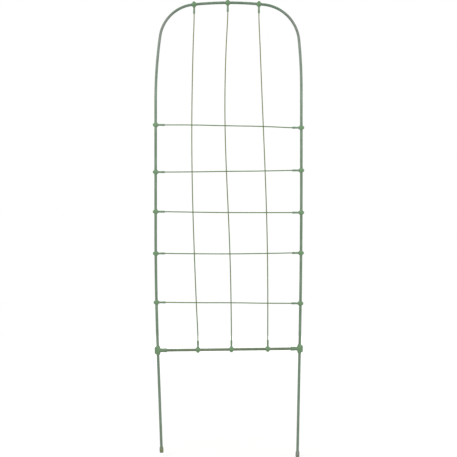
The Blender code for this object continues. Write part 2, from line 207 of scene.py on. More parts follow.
def coatingMaterial(name, look):
    # a plastic coat: its tone follows the height and drifts a little, it is lightly specked, and its skin
    # has a fine orange peel
    material, tree, shader, place = newMaterial(name, look["shine"])
    height = addNode(tree, "ShaderNodeSeparateXYZ", links={"Vector": place}).outputs["Z"]
    share = addNode(
        tree, "ShaderNodeMapRange", {"From Max": tonedHeight}, {"Value": height}
    ).outputs["Result"]
    drift = addNode(
        tree, "ShaderNodeTexNoise",
        {"Scale": patternScale(look["driftSize"]), "Detail": 2.0}, {"Vector": place},
    ).outputs["Fac"]
    shifted = addNode(
        tree, "ShaderNodeMapRange", {"To Min": -look["drift"], "To Max": look["drift"]}, {"Value": drift}
    ).outputs["Result"]
    along = addNode(
        tree, "ShaderNodeMath", {"operation": "ADD"}, {0: share, 1: shifted}
    ).outputs["Value"]
    ramp = addNode(tree, "ShaderNodeValToRGB", links={"Fac": along})
    setStops(ramp, look["tones"])
    speck = addNode(
        tree, "ShaderNodeTexNoise",
        {"Scale": patternScale(look["speckSize"]), "Detail": 3.0}, {"Vector": place},
    ).outputs["Fac"]
    tone = addNode(
        tree, "ShaderNodeMapRange",
        {
            "From Min": noiseLow, "From Max": noiseHigh,
            "To Min": 1 - look["speck"], "To Max": 1 + look["speck"],
        },
        {"Value": speck},
    ).outputs["Result"]
    speckled = addNode(
        tree, "ShaderNodeHueSaturation", links={"Value": tone, "Color": ramp.outputs["Color"]}
    ).outputs["Color"]
    tree.links.new(speckled, shader.inputs["Base Color"])
    smoothest, roughest = look["rough"]
    rough = addNode(
        tree, "ShaderNodeMapRange",
        {"From Min": noiseLow, "From Max": noiseHigh, "To Min": smoothest, "To Max": roughest},
        {"Value": drift},
    ).outputs["Result"]
    tree.links.new(rough, shader.inputs["Roughness"])
    peel = addNode(
        tree, "ShaderNodeTexNoise",
        {"Scale": patternScale(look["peelSize"]), "Detail": 1.0}, {"Vector": place},
    ).outputs["Fac"]
    bump = addNode(
        tree, "ShaderNodeBump", {"Strength": look["peel"], "Distance": peelRise * mm}, {"Height": peel}
    ).outputs["Normal"]
    tree.links.new(bump, shader.inputs["Normal"])
    return material


def addDrawnMarks(material, look):
    # reads "unbent", where a spot lay while its tube or wire was still straight, with its length along Z
    tree = material.node_tree
    shader = tree.nodes["Principled BSDF"]
    unbent = addNode(tree, "ShaderNodeAttribute", {"attribute_name": "unbent"}).outputs["Vector"]

    # the die that drew the coat leaves fine lines lengthwise
    drawn = addNode(
        tree, "ShaderNodeVectorMath",
        {"operation": "MULTIPLY", 1: (1, 1, look["lineWidth"] / look["lineLength"])}, {0: unbent},
    ).outputs["Vector"]
    lines = addNode(
        tree, "ShaderNodeTexNoise",
        {"Scale": patternScale(look["lineWidth"]), "Detail": 1.0}, {"Vector": drawn},
    ).outputs["Fac"]
    skin = shader.inputs["Normal"].links[0].from_socket
    lined = addNode(
        tree, "ShaderNodeBump",
        {"Strength": look["lines"], "Distance": look["lineRise"] * mm}, {"Height": lines, "Normal": skin},
    ).outputs["Normal"]
    tree.links.new(lined, shader.inputs["Normal"])
    groove = addNode(
        tree, "ShaderNodeMapRange",
        {
            "From Min": noiseLow, "From Max": noiseHigh,
            "To Min": 1 - look["lineTone"], "To Max": 1 + look["lineTone"],
        },
        {"Value": lines},
    ).outputs["Result"]

    # ties and clips have rubbed it paler and duller in spots, and soil has darkened others
    stretched = addNode(
        tree, "ShaderNodeVectorMath", {"operation": "MULTIPLY", 1: (1, 1, look["scuffSquash"])}, {0: unbent}
    ).outputs["Vector"]
    rubbed = addNode(
        tree, "ShaderNodeTexNoise",
        {"Scale": patternScale(look["scuffSize"]), "Detail": 6.0}, {"Vector": stretched},
    ).outputs["Fac"]
    scuff = addNode(
        tree, "ShaderNodeMapRange",
        {"interpolation_type": "SMOOTHSTEP", "From Min": look["scuffFrom"], "From Max": look["scuffTo"]},
        {"Value": rubbed},
    ).outputs["Result"]
    grime = addNode(
        tree, "ShaderNodeMapRange",
        {"From Min": look["grimeFrom"], "From Max": look["grimeTo"], "To Min": look["grimeTone"]},
        {"Value": rubbed},
    ).outputs["Result"]
    paler = addNode(
        tree, "ShaderNodeMapRange", {"To Min": 1.0, "To Max": look["scuffTone"]}, {"Value": scuff}
    ).outputs["Result"]
    soiled = addNode(
        tree, "ShaderNodeMath", {"operation": "MULTIPLY"}, {0: paler, 1: grime}
    ).outputs["Value"]
    marked = addNode(
        tree, "ShaderNodeMath", {"operation": "MULTIPLY"}, {0: soiled, 1: groove}
    ).outputs["Value"]
    greyer = addNode(
        tree, "ShaderNodeMapRange", {"To Min": 1.0, "To Max": look["scuffStrength"]}, {"Value": scuff}
    ).outputs["Result"]
    coat = shader.inputs["Base Color"].links[0].from_socket
    worn = addNode(
        tree, "ShaderNodeHueSaturation", links={"Value": marked, "Saturation": greyer, "Color": coat}
    ).outputs["Color"]
    tree.links.new(worn, shader.inputs["Base Color"])
    rough = shader.inputs["Roughness"].links[0].from_socket
    duller = addNode(
        tree, "ShaderNodeMath", {"operation": "MULTIPLY_ADD", 1: look["scuffRough"]}, {0: scuff, 2: rough}
    ).outputs["Value"]
    tree.links.new(duller, shader.inputs["Roughness"])


# Polyethylene coat on a steel tube: satin, grey-green, with a slow drift of tone and a fine orange peel
tubeFinish = {
    "shine": {"IOR": 1.5, "Metallic": 0.0},
    "drift": 0.03,  # how far a tone strays up or down at most, as a share of tonedHeight
    "speck": 0.06, "speckSize": 2.5,  # share by which a speck is lighter or darker
    "rough": (0.3, 0.42), "peel": 0.4, "peelSize": 1.4,  # peel is a strength
}

# On the arch its tone by height is painted light and shade: a painted highlight makes it paler and greyer
# at the corners, painted shade makes it darkest on the crown, and it is also paler near the ground
tubeCoat = coatingMaterial("polyethyleneCoatedTube", {
    **tubeFinish, "driftSize": 90,
    "tones": [
        (0.03, "#80947f"), (0.2, "#7a937b"), (0.3, "#729070"), (0.4, "#748f71"), (0.5, "#738e6f"),
        (0.675, "#759372"), (0.8, "#7f987f"), (0.9, "#849183"), (0.95, "#828c80"), (0.985, "#668268"),
    ],
})

# The crossbar's coat: the same from another batch, a little more olive
barCoat = coatingMaterial("polyethyleneCoatedBar", {
    **tubeFinish, "driftSize": 60,
    "tones": [(0.2, "#758769"), (0.235, "#738566"), (0.27, "#778663")],
})

# What drawing the coat and years of use leave on it. Real die lines are finer: these are as wide as they
# have to be to show.
drawnMarks = {
    "lineTone": 0.05, "lineRise": 0.08,
    "scuffSquash": 0.3,  # width of a scuff for each mm of its length
    "scuffFrom": 0.53, "scuffTo": 0.63, "scuffTone": 1.14, "scuffStrength": 0.8,  # strength of its colour
    "grimeFrom": 0.33, "grimeTo": 0.5,  # the same noise: low values are grime, high ones are scuffs
}
tubeMarks = {
    **drawnMarks, "lineWidth": 0.8, "lineLength": 70, "lines": 0.9,
    "scuffSize": 9, "scuffRough": 0.2, "grimeTone": 0.84,
}
wireMarks = {
    **drawnMarks, "lineWidth": 0.5, "lineLength": 40, "lines": 0.8,
    "scuffSize": 5, "scuffRough": 0.18, "grimeTone": 0.86,
}
addDrawnMarks(tubeCoat, tubeMarks)
addDrawnMarks(barCoat, tubeMarks)

# Vinyl coat on thin steel wire: olive green, a little waxy. So thin a line mixes with the white behind it
# in a picture, so its colours are written stronger than they look there.
wireFinish = {
    "shine": {"IOR": 1.52, "Metallic": 0.0},
    "drift": 0.1, "driftSize": 70, "speck": 0.07, "speckSize": 3,
    "rough": (0.34, 0.46), "peel": 0.35, "peelSize": 1.0,
}

# The columns are paler and more olive towards the crown
columnCoat = coatingMaterial("vinylCoatedColumnWire", {
    **wireFinish, "tones": [(0.25, "#55792a"), (0.5, "#627e33"), (0.75, "#72833f"), (0.95, "#78833f")],
})
rowCoat = coatingMaterial("vinylCoatedRowWire", {
    **wireFinish, "tones": [(0.3, "#5c8034"), (0.5, "#567e30"), (0.75, "#587e32")],
})
addDrawnMarks(columnCoat, wireMarks)
addDrawnMarks(rowCoat, wireMarks)

# Moulded polypropylene: a clearer green than the tube, waxy, with a spark-eroded grain, drawn as coarse
# as it has to be to show
clipPlastic = coatingMaterial("polypropyleneClip", {
    "shine": {"IOR": 1.49, "Metallic": 0.0},
    # its tones by height are painted light and shade, as on the arch: lighter towards the corners, darkest
    # on the crown
    "tones": [(0.2, "#769a70"), (0.5, "#749b6f"), (0.8, "#799f75"), (0.98, "#70966a")],
    "drift": 0.1, "driftSize": 12, "speck": 0.07, "speckSize": 1.5,
    "rough": (0.26, 0.4), "peel": 0.65, "peelSize": 0.5,
})

# What the mould leaves: the thin stem cools duller than the thick ring, and a parting line runs round the
# middle. Hands and weather have whitened the edges.
mouldMarks = {
    "stemFrom": 0.65,  # share of the way to the neck where the stem's tone begins
    "stemTone": 0.92, "stemStrength": 0.88,
    "lineHalfWidth": 0.16, "lineTone": 0.93, "lineRise": 0.05,
    "edgeWidth": 1.2, "wearSize": 1.8, "wearFrom": 0.22, "wearTo": 0.46,
    "wearTone": 1.24, "wearStrength": 0.7,
}


def addMouldMarks(material, look):
    # reads what is painted on the clip: stemShare is 1 on the stem, offMiddle is mm from the parting plane,
    # and edge is 1 on its outer edges
    tree = material.node_tree
    shader = tree.nodes["Principled BSDF"]
    stem = addNode(tree, "ShaderNodeAttribute", {"attribute_name": "stemShare"}).outputs["Fac"]
    signed = addNode(tree, "ShaderNodeAttribute", {"attribute_name": "offMiddle"}).outputs["Fac"]
    offMiddle = addNode(tree, "ShaderNodeMath", {"operation": "ABSOLUTE"}, {0: signed}).outputs["Value"]
    line = addNode(
        tree, "ShaderNodeMapRange",
        {
            "interpolation_type": "SMOOTHSTEP", "From Max": look["lineHalfWidth"],
            "To Min": 1.0, "To Max": 0.0,
        },
        {"Value": offMiddle},
    ).outputs["Result"]
    stemTone = addNode(
        tree, "ShaderNodeMapRange", {"To Min": 1.0, "To Max": look["stemTone"]}, {"Value": stem}
    ).outputs["Result"]
    lineTone = addNode(
        tree, "ShaderNodeMapRange", {"To Min": 1.0, "To Max": look["lineTone"]}, {"Value": line}
    ).outputs["Result"]
    tone = addNode(
        tree, "ShaderNodeMath", {"operation": "MULTIPLY"}, {0: stemTone, 1: lineTone}
    ).outputs["Value"]
    strength = addNode(
        tree, "ShaderNodeMapRange", {"To Min": 1.0, "To Max": look["stemStrength"]}, {"Value": stem}
    ).outputs["Result"]
    plain = shader.inputs["Base Color"].links[0].from_socket
    marked = addNode(
        tree, "ShaderNodeHueSaturation", links={"Value": tone, "Saturation": strength, "Color": plain}
    ).outputs["Color"]

    # the edges are worn in patches
    place = addNode(tree, "ShaderNodeTexCoord").outputs["Object"]
    patchy = addNode(
        tree, "ShaderNodeTexNoise",
        {"Scale": patternScale(look["wearSize"]), "Detail": 4.0}, {"Vector": place},
    ).outputs["Fac"]
    edge = addNode(tree, "ShaderNodeAttribute", {"attribute_name": "edge"}).outputs["Fac"]
    bare = addNode(
        tree, "ShaderNodeMath", {"operation": "MULTIPLY"}, {0: edge, 1: patchy}
    ).outputs["Value"]
    wear = addNode(
        tree, "ShaderNodeMapRange",
        {"interpolation_type": "SMOOTHSTEP", "From Min": look["wearFrom"], "From Max": look["wearTo"]},
        {"Value": bare},
    ).outputs["Result"]
    paler = addNode(
        tree, "ShaderNodeMapRange", {"To Min": 1.0, "To Max": look["wearTone"]}, {"Value": wear}
    ).outputs["Result"]
    greyer = addNode(
        tree, "ShaderNodeMapRange", {"To Min": 1.0, "To Max": look["wearStrength"]}, {"Value": wear}
    ).outputs["Result"]
    worn = addNode(
        tree, "ShaderNodeHueSaturation", links={"Value": paler, "Saturation": greyer, "Color": marked}
    ).outputs["Color"]
    tree.links.new(worn, shader.inputs["Base Color"])
    grain = shader.inputs["Normal"].links[0].from_socket
    raised = addNode(
        tree, "ShaderNodeBump", {"Distance": look["lineRise"] * mm}, {"Height": line, "Normal": grain}
    ).outputs["Normal"]
    tree.links.new(raised, shader.inputs["Normal"])


addMouldMarks(clipPlastic, mouldMarks)

# Dipped vinyl: soft and matt, olive, with painted shade that darkens it at the sole
capFinish = {
    "shine": {"IOR": 1.52, "Metallic": 0.0},
    "drift": 0.0004, "driftSize": 8, "speck": 0.1, "speckSize": 1.3,
    "rough": (0.46, 0.62), "peel": 0.8, "peelSize": 0.8,
}
leftCapVinyl = coatingMaterial("dippedVinylLeft", {
    **capFinish,
    "tones": [(0.0105, "#71745f"), (0.0125, "#849068"), (0.0175, "#87936c"), (0.022, "#879178")],
})
rightCapVinyl = coatingMaterial("dippedVinylRight", {
    **capFinish,
    "tones": [(0.0012, "#7e8374"), (0.0035, "#8c9485"), (0.008, "#91998c"), (0.0125, "#939d90")],
})
print("materials made")


# arch tube

tubing = {"radius": 4.4, "wall": 0.8, "sides": 32}  # the tube that arch and crossbar are made of
archTube = {
    "halfWidth": 239.1, "height": 1491, "crownRadius": 1120,  # all to the middle of the tube
    "left": {
        "side": -1, "cornerRadius": 122, "shoulderRadius": 1525,
        "shoulderAngle": 7.9,  # degrees that the shoulder turns
        "bendHeight": 749, "teeHeight": 350, "footHeight": 14.4,
        "lean": 0.0367,  # how far the leg goes inwards for each mm down
    },
    "right": {
        "side": 1, "cornerRadius": 129, "shoulderRadius": 1600,
        "shoulderAngle": 5.7,
        "bendHeight": 913, "teeHeight": 356, "footHeight": 0,
        "lean": 0.0203,
    },
    "arcSteps": (12, 40, 14),  # sections of each half of the crown, of a corner and of a shoulder
    "bendSteps": 14,
    "arcPoints": 12, "legPoints": 30,  # points of the line that the marks on the coat follow
}
footCap = {
    "length": 18.7, "floor": 3.0, "wall": 1.8, "rimWall": 0.9, "sole": 4.9, "sides": 48,
    "lowShare": 0.2, "lowSwell": 0.8, "widestShare": 0.55,  # shares of the length, and of the swelling
    "soleRings": 6, "bellyRings": 5, "upperRings": 8,
    "rimRound": 0.35, "rimSegments": 3, "roundAbove": 35,  # degrees that a rounded edge turns at least
}
swellPower = 2.5  # a ring or a cap stays wide for long, and narrows fast at its rim


def legAt(name, height):
    # middle of the tube at this height and the way up along it: straight, then bent, then leaning inwards
    leg = archTube[name]
    bend = leg["bendHeight"] - leg["teeHeight"]
    drop = max(leg["bendHeight"] - height, 0)
    curved = min(drop, bend)
    inset = leg["lean"] * (curved ** 2 / (2 * bend) + drop - curved)
    up = Vector((leg["side"] * leg["lean"] * curved / bend, 0, 1)).normalized()
    return Vector((leg["side"] * (archTube["halfWidth"] - inset), 0, height)), up


def legBend(name):
    # how far a leg is bent below its straight part, and the radius of that bend
    leg = archTube[name]
    angle = math.atan(leg["lean"])
    return angle, (leg["bendHeight"] - leg["teeHeight"]) / math.sin(angle)


def archArcs(name):
    # crown, corner and shoulder, drawn to the right: centre, radius, start and end from straight up
    leg = archTube[name]
    corner, shoulder, crown = leg["cornerRadius"], leg["shoulderRadius"], archTube["crownRadius"]
    cornerEnd = math.pi / 2 - math.radians(leg["shoulderAngle"])
    beyond = archTube["halfWidth"] - corner * math.sin(cornerEnd) - shoulder * (1 - math.sin(cornerEnd))
    crownEnd = math.asin(beyond / (crown - corner))
    middle = Vector((0, 0, archTube["height"] - crown))
    cornerMiddle = middle + (crown - corner) * Vector((math.sin(crownEnd), 0, math.cos(crownEnd)))
    outwards = Vector((math.sin(cornerEnd), 0, math.cos(cornerEnd)))
    shoulderMiddle = cornerMiddle + (corner - shoulder) * outwards
    return [
        (middle, crown, 0, crownEnd),
        (cornerMiddle, corner, crownEnd, cornerEnd),
        (shoulderMiddle, shoulder, cornerEnd, math.pi / 2),
    ]


def swingRound(middle, angle, steps):
    # the picked ring goes clockwise, as seen from the front, about this centre
    bpy.ops.mesh.spin(steps=steps, angle=-angle, center=Vector(middle) * mm, axis=(0, 1, 0))


def paintUnbent(piece, line):
    # for every vertex: its place across the line, and the length of line up to there
    unbent = piece.data.attributes.new("unbent", "FLOAT_VECTOR", "POINT")
    stretches = []
    run = 0.0
    for start, end in zip(line, line[1:]):
        stretches.append((start * mm, (end - start) * mm, run))
        run += (end - start).length * mm
    for vertex in piece.data.vertices:
        best = math.inf
        for start, way, before in stretches:
            share = max(0.0, min(1.0, (vertex.co - start).dot(way) / way.length_squared))
            off = vertex.co - start - share * way
            if off.length_squared < best:
                best = off.length_squared
                across = off.dot(Vector((0, 1, 0)).cross(way).normalized())
                unbent.data[vertex.index].vector = (across, off.y, before + share * way.length)


def startTube(name, place, way):
    # an open ring that faces along the tube
    turn = math.atan2(way.x, way.z)
    return startCircle(name, tubing["radius"], tubing["sides"], filled=False, place=place, turn=turn)


def finishTube(piece, line, node, coat):
    # the wall grows inwards, so that the pulled skin stays the outside
    closeUp(piece)
    applied(piece, "SOLIDIFY", thickness=tubing["wall"] * mm, offset=-1, use_even_offset=True)
    paintUnbent(piece, line)
    finishPiece(piece, node, coat)


def archLine():
    # the middle of the tube from the left foot over the crown to the right foot, a point every few cm
    line = []
    for name in ("left", "right"):
        leg = archTube[name]
        half = []
        for middle, radius, start, end in archArcs(name):
            for k in range(archTube["arcPoints"]):
                angle = lerp(start, end, k / archTube["arcPoints"])
                across = leg["side"] * (middle.x + radius * math.sin(angle))
                half.append(Vector((across, 0, middle.z + radius * math.cos(angle))))
        shoulderEnd = half[-1].z
        for k in range(1, archTube["legPoints"] + 1):
            half.append(legAt(name, lerp(shoulderEnd, leg["footHeight"], k / archTube["legPoints"]))[0])
        line = half[::-1] if name == "left" else line + half[1:]
    return line


def makeArch():
    # a ring is pulled up the left leg, over the crown and down the right leg
    left, right = archTube["left"], archTube["right"]
    leftArcs, rightArcs = archArcs("left"), archArcs("right")
    foot, up = legAt("left", left["footHeight"] + footCap["floor"] + fit)
    piece = startTube("archTubeShown", foot, up)
    bendStart = legAt("left", left["teeHeight"])[0]
    pullBy(*(bendStart - foot))
    angle, bendRadius = legBend("left")
    inwards = Vector((math.cos(angle), 0, math.sin(angle)))
    swingRound(bendStart + bendRadius * inwards, angle, archTube["bendSteps"])
    pullBy(0, 0, leftArcs[-1][0].z - left["bendHeight"])

    for (middle, _, start, end), steps in zip(reversed(leftArcs), reversed(archTube["arcSteps"])):
        swingRound((-middle.x, 0, middle.z), end - start, steps)
    for (middle, _, start, end), steps in zip(rightArcs, archTube["arcSteps"]):
        swingRound(middle, end - start, steps)

    bendStart = legAt("right", right["bendHeight"])[0]
    pullBy(0, 0, bendStart.z - rightArcs[-1][0].z)
    angle, bendRadius = legBend("right")
    swingRound(bendStart - Vector((bendRadius, 0, 0)), angle, archTube["bendSteps"])
    bendEnd = legAt("right", right["teeHeight"])[0]
    foot = legAt("right", right["footHeight"] + footCap["floor"] + fit)[0]
    pullBy(*(foot - bendEnd))
    finishTube(piece, archLine(), "arch_tube", tubeCoat)
    print("arch tube bent")


def crownAt(x):
    # middle of the tube at the top of the arch, and its way towards the right
    name = "left" if x < 0 else "right"
    for middle, radius, _, end in archArcs(name):
        if abs(x) < middle.x + radius * math.sin(end):
            break
    angle = math.asin((abs(x) - middle.x) / radius)
    along = Vector((math.cos(angle), 0, -archTube[name]["side"] * math.sin(angle)))
    return Vector((x, 0, middle.z + radius * math.cos(angle))), along


makeArch()


# crossbar

crossbar = {"sections": 8, "inset": 11.5}  # inset: from the middle of a leg to the bar's end
barStart, barStartUp = legAt("left", archTube["left"]["teeHeight"])
barEnd, barEndUp = legAt("right", archTube["right"]["teeHeight"])
acrossBar = (barEnd - barStart).normalized()


def barAt(x):
    # middle of the crossbar at this X
    return barStart + acrossBar * ((x - barStart.x) / acrossBar.x)


def makeCrossbar():
    start = barStart + acrossBar * crossbar["inset"]
    end = barEnd - acrossBar * crossbar["inset"]
    piece = startTube("crossbarShown", start, acrossBar)
    for _ in range(crossbar["sections"]):
        pullBy(*((end - start) / crossbar["sections"]))
    finishTube(piece, [start, end], "crossbar", barCoat)
    print("crossbar cut")


makeCrossbar()


# clips and tees

clip = {
    "length": 14.4, "wall": 3.0, "rimWall": 1.3,  # the ring
    "lipLength": 9.2, "lipReach": 1.29,  # reach: how far the lips stand proud of the ring
    "reach": 30, "neckReach": 12.5, "neckWall": 0.95, "tipWall": 1.5, "chamfer": 0.8,  # the stem
    "held": wireRadius, "depth": 19,  # radius of what the stem holds, and how deep its socket is
    "voxel": 0.2,
}
tee = {
    "length": 29, "wall": 3.8, "rimWall": 1.5,
    "lipLength": 22, "lipReach": 1.8,
    "reach": 30, "neckReach": 13.5, "neckWall": 1.1, "tipWall": 1.9, "chamfer": 1.0,
    "held": tubing["radius"], "depth": 19,
    "voxel": 0.25,
}
mouth = {
    "grip": 0.9, "flare": 1.1,  # on each side: how far it closes round the tube, and opens to the front
    "lipWall": 2.0, "lipRound": 2.5, "lipSegments": 6,
}

# What clips and tees share: the stem narrows from its root in the ring to a neck, and swells to its tip
moulding = {
    "ringSteps": 10, "sides": 48, "boreSides": 64,
    "rootShare": 0.93,  # radius of the root, as a share of the ring's
    # (share of the way, share of the widening): from the root to the neck, and from the neck to the end
    "narrowing": [(0.2, 1), (0.45, 0.6), (0.72, 0.22), (1, 0)],
    "swelling": [(0.25, 0.45), (0.72, 1)],
    "chamferSlope": 2.4,  # length of the chamfer for each mm of its depth
    "overcut": 2,  # what cuts a hole stands out of it by this or half of it, so that it cuts clean through
    "smoothing": 0.5, "smoothings": 6, "keep": 0.25,  # keep: share of the faces that is left
    "turnedFrom": 9.5, "turnBlend": 4.5,  # where the stem is turned, and how far that tapers off
}


def addBlock(near, far, nearHalf, farHalf, length):
    # a block to the left of the tube, from near to far, whose half width changes from nearHalf to farHalf
    bpy.ops.object.select_all(action="DESELECT")
    bpy.ops.mesh.primitive_cube_add(size=1, location=(-(near + far) / 2 * mm, 0, 0))
    block = bpy.context.object
    block.scale = ((far - near) * mm, 2 * nearHalf * mm, length * mm)
    bpy.ops.object.transform_apply(location=True, rotation=True, scale=True)
    bpy.ops.object.mode_set(mode="EDIT")
    bpy.ops.mesh.select_all(action="DESELECT")
    mesh = bmesh.from_edit_mesh(block.data)
    for vertex in mesh.verts:
        vertex.select_set(vertex.co.x < -(near + far) / 2 * mm)
    mesh.select_flush(True)
    bmesh.update_edit_mesh(block.data)
    bpy.ops.transform.resize(value=(1, farHalf / nearHalf, 1), center_override=(-far * mm, 0, 0))
    bpy.ops.object.mode_set(mode="OBJECT")
    return block


def roundFarCorners(block, far):
    # the two long edges on its outer side
    pickOnly(block)
    bpy.ops.object.mode_set(mode="EDIT")
    bpy.ops.mesh.select_mode(type="EDGE")
    bpy.ops.mesh.select_all(action="DESELECT")
    mesh = bmesh.from_edit_mesh(block.data)
    for edge in mesh.edges:
        a, b = (vertex.co for vertex in edge.verts)
        if max(a.x, b.x) < (mergeWithin - far) * mm and abs(a.z - b.z) < mergeWithin * mm:
            edge.select_set(True)
    bmesh.update_edit_mesh(block.data)
    bpy.ops.mesh.bevel(offset=mouth["lipRound"] * mm, segments=mouth["lipSegments"], affect="EDGES")
    bpy.ops.mesh.select_mode(type="VERT")
    bpy.ops.object.mode_set(mode="OBJECT")


def paintModel(piece, look, far):
    # what the clip's material reads: how far out on the stem a spot is, how far off the parting plane, and
    # how near to the rim of the ring, the front of the lips or the tip of the stem
    stemShare = piece.data.attributes.new("stemShare", "FLOAT", "POINT")
    offMiddle = piece.data.attributes.new("offMiddle", "FLOAT", "POINT")
    edge = piece.data.attributes.new("edge", "FLOAT", "POINT")
    stemFrom = mouldMarks["stemFrom"] * look["neckReach"]
    for vertex in piece.data.vertices:
        x, y, z = vertex.co / mm
        stemShare.data[vertex.index].value = within01((x - stemFrom) / (look["neckReach"] - stemFrom))
        offMiddle.data[vertex.index].value = y
        inwards = min(look["length"] / 2 - abs(z), far + x, look["reach"] - x)
        edge.data[vertex.index].value = within01(1 - inwards / mouldMarks["edgeWidth"])


def makeFitting(name, look):
    # ring along Z with its mouth to the left, and a stem to the right that holds a wire or a bar
    bore = tubing["radius"] + fit
    belly = bore + look["wall"]
    half = look["length"] / 2
    steps = moulding["ringSteps"]
    rings = []
    for k in range(-steps, steps + 1):
        wall = lerp(look["wall"], look["rimWall"], abs(k / steps) ** swellPower)
        rings.append((bore + wall, half * k / steps))
    piece = turnedSolid(name, rings, moulding["sides"])

    hole = look["held"] + fit
    neck, tip, root = hole + look["neckWall"], hole + look["tipWall"], moulding["rootShare"] * belly
    neckReach, reach = look["neckReach"], look["reach"]
    profile = [(lerp(neck, root, wide), neckReach * way) for way, wide in moulding["narrowing"]]
    profile += [(lerp(neck, tip, wide), lerp(neckReach, reach, way)) for way, wide in moulding["swelling"]]
    profile += [(tip, reach - moulding["chamferSlope"] * look["chamfer"]), (tip - look["chamfer"], reach)]
    stem = turnedSolid(name + "Stem", profile, moulding["sides"])
    stem.rotation_euler = (0, math.pi / 2, 0)
    carve(piece, stem, "UNION")

    throat = tubing["radius"] - mouth["grip"]
    lipHalf = throat + mouth["lipWall"]
    far = belly + look["lipReach"]
    lips = addBlock(tubing["radius"], far, lipHalf, lipHalf, look["lipLength"])
    roundFarCorners(lips, far)
    carve(piece, lips, "UNION")

    over = moulding["overcut"]
    boreLength = look["length"] + 2 * over
    bpy.ops.mesh.primitive_cylinder_add(
        vertices=moulding["boreSides"], radius=bore * mm, depth=boreLength * mm
    )
    carve(piece, bpy.context.object, "DIFFERENCE")
    opening = addBlock(throat / 2, far + over / 2, throat, throat + mouth["flare"], boreLength)
    carve(piece, opening, "DIFFERENCE")
    bpy.ops.mesh.primitive_cylinder_add(
        vertices=moulding["sides"], radius=hole * mm, depth=(look["depth"] + over) * mm,
        location=((reach - look["depth"] / 2 + over / 2) * mm, 0, 0), rotation=(0, math.pi / 2, 0),
    )
    carve(piece, bpy.context.object, "DIFFERENCE")

    # a fine remesh rounds every edge and fills every inner corner, as a mould does
    applied(piece, "REMESH", mode="VOXEL", voxel_size=look["voxel"] * mm, use_smooth_shade=True)
    applied(piece, "SMOOTH", factor=moulding["smoothing"], iterations=moulding["smoothings"])
    applied(piece, "DECIMATE", ratio=moulding["keep"])
    paintModel(piece, look, far)
    return piece


def placeFitting(model, node, seat, along, towards):
    # the ring lies along its tube, and the stem is turned at its neck to point towards what it holds
    pickOnly(model)
    bpy.ops.object.duplicate()
    piece = bpy.context.object
    piece.name = node + "_shown"
    lean = math.asin(max(-1, min(1, along.dot(towards))))
    bpy.ops.object.mode_set(mode="EDIT")
    mesh = bmesh.from_edit_mesh(piece.data)
    for vertex in mesh.verts:
        vertex.select_set(vertex.co.x > moulding["turnedFrom"] * mm)
    mesh.select_flush(True)
    bmesh.update_edit_mesh(piece.data)
    bpy.ops.transform.rotate(
        value=lean, orient_axis="Y", center_override=(0, 0, 0), use_proportional_edit=True,
        proportional_edit_falloff="SMOOTH", proportional_size=moulding["turnBlend"] * mm,
    )
    bpy.ops.object.mode_set(mode="OBJECT")
    standAt(piece, seat, along, along.cross(towards).normalized())
    finishPiece(piece, node, clipPlastic)


clipModel = makeFitting("clipModel", clip)
teeModel = makeFitting("teeModel", tee)
print("clip and tee modelled:", len(clipModel.data.polygons), "and", len(teeModel.data.polygons), "faces")

placeFitting(teeModel, "tee_left", barStart, barStartUp, acrossBar)
placeFitting(teeModel, "tee_right", barEnd, barEndUp, -acrossBar)


# wires

columns = [  # X at the crown, X at the crossbar, bow to the right, sway of the upper half
    (-112.8, -100.3, -12.7, -0.9),
    (-2.4, 9.6, -9.7, -5.4),
    (99.8, 128.8, 6.6, -1.8),
]
rows = [  # height on the left leg, height on the right leg, sag in the middle
    (1090, 1081, -2.1),
    (935.3, 940.7, 0.6),
    (805.2, 802.3, 1.3),
    (668.2, 669.8, 2.2),
    (507.6, 504.5, 0),
]
wire = {
    "sides": 16, "columnSteps": 60, "rowSteps": 8,
    "gap": 0.3, "level": 22,  # free space at a crossing, and how far a row stays level on each side of it
    "ease": 0.1,  # share of a wire's length over which it comes into line with its clip
    "endGap": 0.5, "rowSlip": 4, "columnSlip": 6,  # a wire ends this far off the floor of its socket
}


def eased(share):
    # slows down towards both ends, so that a wire leaves its clips in line with them
    near = min(share, 1 - share)
    if near >= wire["ease"]:
        return share
    t = near / wire["ease"]
    slowed = wire["ease"] * t * t * (2 - t)
    return slowed if share < 0.5 else 1 - slowed


def columnLine(column):
    # from the socket of the crown's clip down to the socket of the crossbar's clip
    topX, bottomX, bow, sway = column
    top, bottom = crownAt(topX)[0], barAt(bottomX)
    above, below = top.z - clip["reach"], bottom.z + clip["reach"]
    line = []
    for k in range(wire["columnSteps"] + 1):
        s = eased(k / wire["columnSteps"])
        x = lerp(topX, bottomX, s) + bow * math.sin(math.pi * s) + sway * math.sin(2 * math.pi * s)
        line.append(Vector((x, 0, lerp(above, below, k / wire["columnSteps"]))))
    floor = clip["reach"] - clip["depth"]
    line.insert(0, Vector((topX, 0, top.z - floor - wire["columnSlip"])))
    line.append(Vector((bottomX, 0, bottom.z + floor + wire["endGap"])))
    return line


def columnX(line, height):
    # where a column wire passes this height
    for upper, lower in zip(line, line[1:]):
        if upper.z >= height >= lower.z:
            return lerp(upper.x, lower.x, (upper.z - height) / (upper.z - lower.z))


